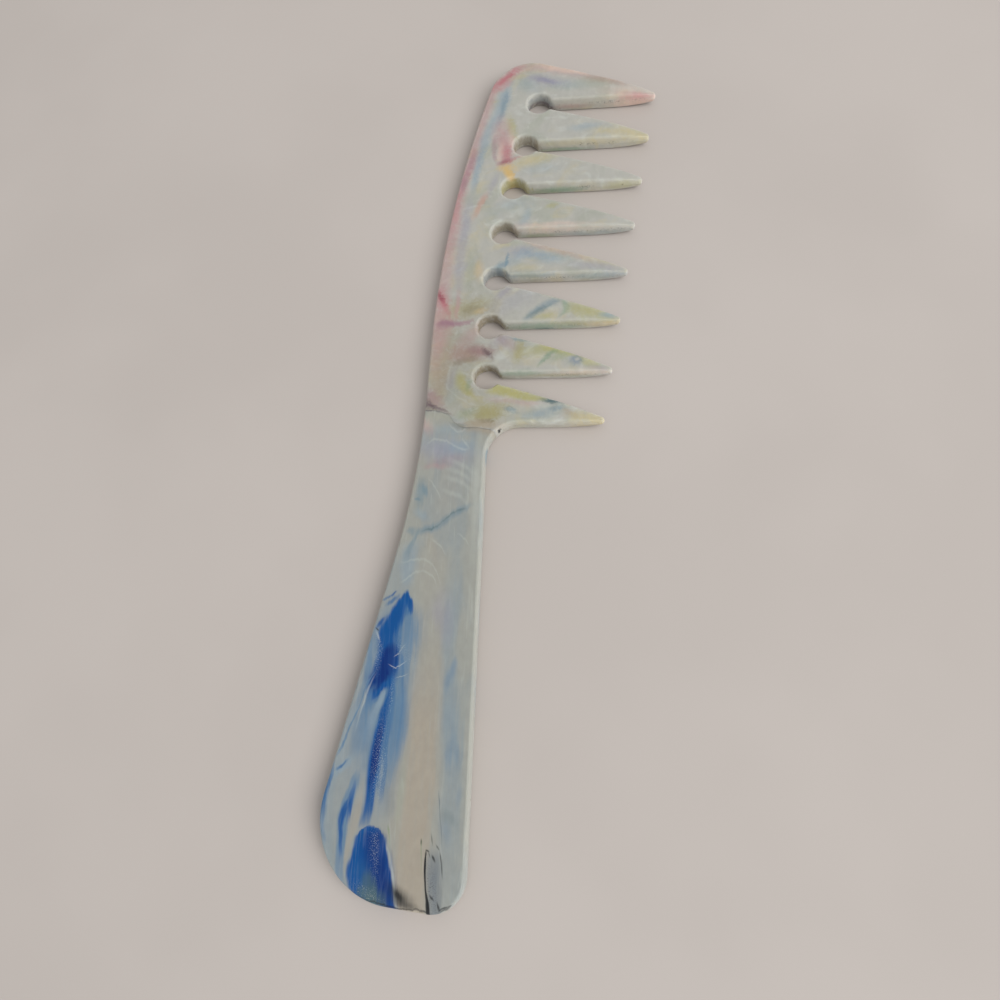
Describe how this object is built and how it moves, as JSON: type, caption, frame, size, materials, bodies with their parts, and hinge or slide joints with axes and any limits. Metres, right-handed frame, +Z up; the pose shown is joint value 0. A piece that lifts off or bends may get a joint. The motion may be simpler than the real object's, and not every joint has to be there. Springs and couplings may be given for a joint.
{
  "type": "comb",
  "caption": "Flat wide-tooth comb with a flared handle, tapered teeth and round holes at the roots of its gaps, moulded from marbled plastic.",
  "frame": {"origin": "on the underside, below the middle of the comb's box", "axes": "+Y along the comb from the handle's end to the crown of the head, +X from the spine to the tips of the teeth, +Z up through the thickness"},
  "size_m": [0.0646, 0.1884, 0.004],
  "materials": {
    "head_plastic": "satin recycled plastic, marbled green-grey with pink, crimson, blue and yellow streaks",
    "handle_plastic": "satin recycled plastic, marbled pale blue-grey with deep blue streaks and a cream band"
  },
  "bodies": {
    "root": {"toothed_head": "head_plastic", "handle": "handle_plastic"}
  },
  "joints": []
}
